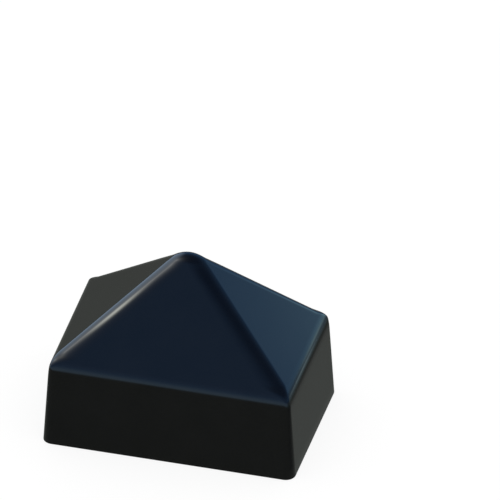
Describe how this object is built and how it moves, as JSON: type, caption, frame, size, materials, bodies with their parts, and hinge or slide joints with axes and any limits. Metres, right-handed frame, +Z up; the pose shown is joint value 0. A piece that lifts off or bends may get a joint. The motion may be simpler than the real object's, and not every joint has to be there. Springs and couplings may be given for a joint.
{
  "type": "pile cap",
  "caption": "Hollow rectangular pile cap: an open-rimmed, slightly leaning skirt under a pyramid roof with rounded ridges and tip, slipped over a dock pile to shed water.",
  "frame": {"origin": "middle of the open rim, on the plane that the rim stands on", "axes": "+Z up through the tip of the roof; +X along the cap's long side; +Y across it"},
  "size_m": [0.275, 0.1774, 0.2081],
  "materials": {
    "shell": "black moulded polyethylene, glossy with a faint moulded grain"
  },
  "bodies": {
    "root": {"cap_shell": "shell"}
  },
  "joints": []
}
